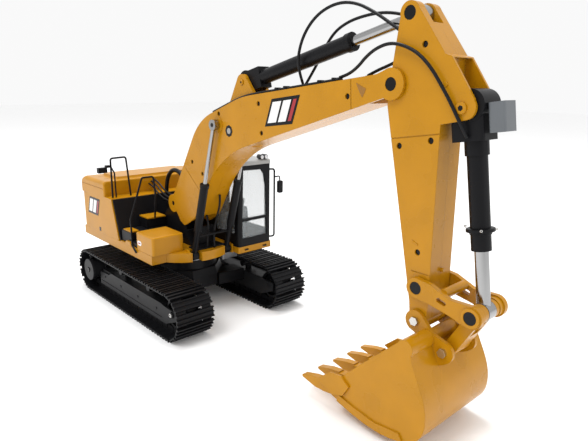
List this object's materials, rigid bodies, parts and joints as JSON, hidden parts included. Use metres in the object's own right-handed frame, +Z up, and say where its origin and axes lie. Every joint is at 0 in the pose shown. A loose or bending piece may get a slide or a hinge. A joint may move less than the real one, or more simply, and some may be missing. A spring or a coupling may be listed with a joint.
{
  "type": "toy crawler excavator",
  "caption": "Toy crawler excavator with a hinged boom, stick and bucket, cylinders, hoses, a turning upper structure with cab and two crawler tracks.",
  "frame": {"origin": "on the ground, on the axis that the upper structure turns about", "axes": "+X forward, the way the tracks run and the bucket points; +Y to the machine's left, the cab side; +Z up"},
  "size_m": [0.6179, 0.2035, 0.3679],
  "materials": {
    "yellow_paint": "gloss orange-yellow, moulded plastic body paint",
    "black_plastic": "satin black moulded plastic",
    "dark_frame": "dark grey painted metal",
    "track_metal": "satin black painted metal",
    "bearing_steel": "machined steel",
    "chrome_rod": "polished rod",
    "arm_plastic": "gloss orange-yellow, moulded plastic arm",
    "screw_steel": "zinc plated",
    "pin_black": "black plastic cap",
    "cab_glass": "clear pane",
    "roof_grey": "light grey plastic",
    "lamp_clear": "clear lens in a black case",
    "seat_black": "dark grey plastic",
    "tooth_yellow": "gloss orange-yellow plastic teeth",
    "hose_rubber": "black rubber hose",
    "weight_yellow": "gloss orange-yellow paint over a cast weight",
    "battery_blue": "shrink-wrapped pack",
    "board_green": "circuit board",
    "motor_grey": "grey motor case"
  },
  "bodies": {
    "undercarriage": {"carbody": "track_metal", "swing_ring": "bearing_steel", "centre_post": "bearing_steel", "track_frame_right": "dark_frame", "track_frame_left": "dark_frame", "track_shoes_right": "track_metal", "track_shoes_left": "track_metal", "track_links_right": "track_metal", "track_links_left": "track_metal", "track_rollers_right": "track_metal", "track_rollers_left": "track_metal", "drive_motors": "motor_grey"},
    "idler_right": {"idler_right": "track_metal"},
    "idler_left": {"idler_left": "track_metal"},
    "sprocket_right": {"sprocket_right": "dark_frame"},
    "sprocket_left": {"sprocket_left": "dark_frame"},
    "upper": {"main_frame": "yellow_paint", "boom_bracket": "black_plastic", "swing_motor": "motor_grey", "hood_shell": "yellow_paint", "counterweight": "weight_yellow", "tool_box": "yellow_paint", "walkway": "black_plastic", "step_plates": "yellow_paint", "handrails": "black_plastic", "cab_floor": "yellow_paint", "cab_frame": "black_plastic", "cab_glass": "cab_glass", "cab_roof": "roof_grey", "cab_interior": "seat_black", "cab_handrail": "black_plastic", "work_lights": "lamp_clear", "battery_pack": "battery_blue", "control_board": "board_green", "rear_hoses": "hose_rubber", "belly_hoses": "hose_rubber"},
    "swing_pinion": {"swing_pinion": "bearing_steel"},
    "boom": {"boom_right_shell": "arm_plastic", "boom_left_shell": "arm_plastic", "boom_fasteners": "pin_black", "hose_loop": "hose_rubber", "hose_rod": "hose_rubber", "hose_long": "hose_rubber", "hose_elbow": "hose_rubber"},
    "lift_rods": {"boom_rods": "chrome_rod"},
    "lift_barrels": {"boom_barrels": "black_plastic"},
    "stick": {"stick_right_shell": "arm_plastic", "stick_left_shell": "arm_plastic", "stick_fasteners": "pin_black"},
    "crowd_rod": {"stick_rod": "chrome_rod"},
    "crowd_barrel": {"stick_barrel": "black_plastic"},
    "side_links": {"side_links": "arm_plastic", "link_pins": "pin_black"},
    "curl_rod": {"bucket_rod": "chrome_rod"},
    "curl_barrel": {"bucket_barrel": "black_plastic", "bucket_motor": "motor_grey"},
    "bucket": {"bucket_shell": "arm_plastic", "bucket_teeth": "tooth_yellow", "bucket_bolts": "screw_steel"},
    "bucket_link": {"bucket_link": "arm_plastic"}
  },
  "joints": [
    {"name": "swing", "type": "hinge", "parent": "undercarriage", "child": "upper", "pos_m": [0, 0, 0.0705], "axis": [0, 0, 1], "continuous": true},
    {"name": "swing_pinion_spin", "type": "hinge", "parent": "upper", "child": "swing_pinion", "pos_m": [-0.02194, -0.005, 0.068], "axis": [0, 0, 1], "continuous": true},
    {"name": "track_drive_right", "type": "hinge", "parent": "undercarriage", "child": "sprocket_right", "pos_m": [-0.109, -0.0745, 0.03], "axis": [0, 1, 0], "continuous": true},
    {"name": "idler_turn_right", "type": "hinge", "parent": "undercarriage", "child": "idler_right", "pos_m": [0.109, -0.0745, 0.03], "axis": [0, 1, 0], "continuous": true},
    {"name": "track_drive_left", "type": "hinge", "parent": "undercarriage", "child": "sprocket_left", "pos_m": [-0.109, 0.0745, 0.03], "axis": [0, 1, 0], "continuous": true},
    {"name": "idler_turn_left", "type": "hinge", "parent": "undercarriage", "child": "idler_left", "pos_m": [0.109, 0.0745, 0.03], "axis": [0, 1, 0], "continuous": true},
    {"name": "boom_lift", "type": "hinge", "parent": "upper", "child": "boom", "pos_m": [0.01, -0.005, 0.139], "axis": [0, 1, 0], "range_deg": [-8, 32], "deforming": ["rear_hoses", "belly_hoses"]},
    {"name": "lift_rod_turn", "type": "hinge", "parent": "boom", "child": "lift_rods", "pos_m": [0.117, -0.005, 0.2495], "axis": [0, 1, 0], "range_deg": [-7, 7]},
    {"name": "lift_extend", "type": "slide", "parent": "lift_rods", "child": "lift_barrels", "axis": [-0.2837, 0, -0.9589], "range_m": [-0.06, 0.06]},
    {"name": "stick_curl", "type": "hinge", "parent": "boom", "child": "stick", "pos_m": [0.359, -0.005, 0.298], "axis": [0, 1, 0], "range_deg": [-30, 25], "deforming": ["hose_loop", "hose_rod", "hose_long", "hose_elbow"]},
    {"name": "crowd_rod_turn", "type": "hinge", "parent": "stick", "child": "crowd_rod", "pos_m": [0.371, -0.005, 0.352], "axis": [0, 1, 0], "range_deg": [-30, 30]},
    {"name": "crowd_extend", "type": "slide", "parent": "crowd_rod", "child": "crowd_barrel", "axis": [-0.9696, 0, -0.2446], "range_m": [-0.04, 0.04]},
    {"name": "side_link_turn", "type": "hinge", "parent": "stick", "child": "side_links", "pos_m": [0.398, -0.005, 0.134], "axis": [0, 1, 0], "range_deg": [-40, 40]},
    {"name": "curl_rod_turn", "type": "hinge", "parent": "side_links", "child": "curl_rod", "pos_m": [0.4495, -0.005, 0.1245], "axis": [0, 1, 0], "range_deg": [-40, 40]},
    {"name": "curl_extend", "type": "slide", "parent": "curl_rod", "child": "curl_barrel", "axis": [-0.1537, 0, 0.9881], "range_m": [-0.04, 0.04]},
    {"name": "bucket_curl", "type": "hinge", "parent": "stick", "child": "bucket", "pos_m": [0.399, -0.005, 0.1045], "axis": [0, 1, 0], "range_deg": [-45, 25]},
    {"name": "bucket_link_turn", "type": "hinge", "parent": "bucket", "child": "bucket_link", "pos_m": [0.4275, -0.005, 0.086], "axis": [0, 1, 0], "range_deg": [-40, 40]}
  ],
  "couplings": [
    {"joint": "swing_pinion_spin", "follows": "swing", "ratio": -4},
    {"joint": "idler_turn_right", "follows": "track_drive_right", "ratio": 1},
    {"joint": "idler_turn_left", "follows": "track_drive_left", "ratio": 1},
    {"joint": "lift_rod_turn", "follows": "boom_lift", "ratio": -0.167},
    {"joint": "lift_extend", "follows": "boom_lift", "m_per_rad": -0.0764},
    {"joint": "crowd_rod_turn", "follows": "stick_curl", "ratio": -0.899},
    {"joint": "crowd_extend", "follows": "stick_curl", "m_per_rad": 0.0494},
    {"joint": "side_link_turn", "follows": "bucket_curl", "ratio": 0.7042},
    {"joint": "curl_rod_turn", "follows": "bucket_curl", "ratio": -0.6519},
    {"joint": "curl_extend", "follows": "bucket_curl", "m_per_rad": 0.03529},
    {"joint": "bucket_link_turn", "follows": "bucket_curl", "ratio": -0.7164}
  ]
}
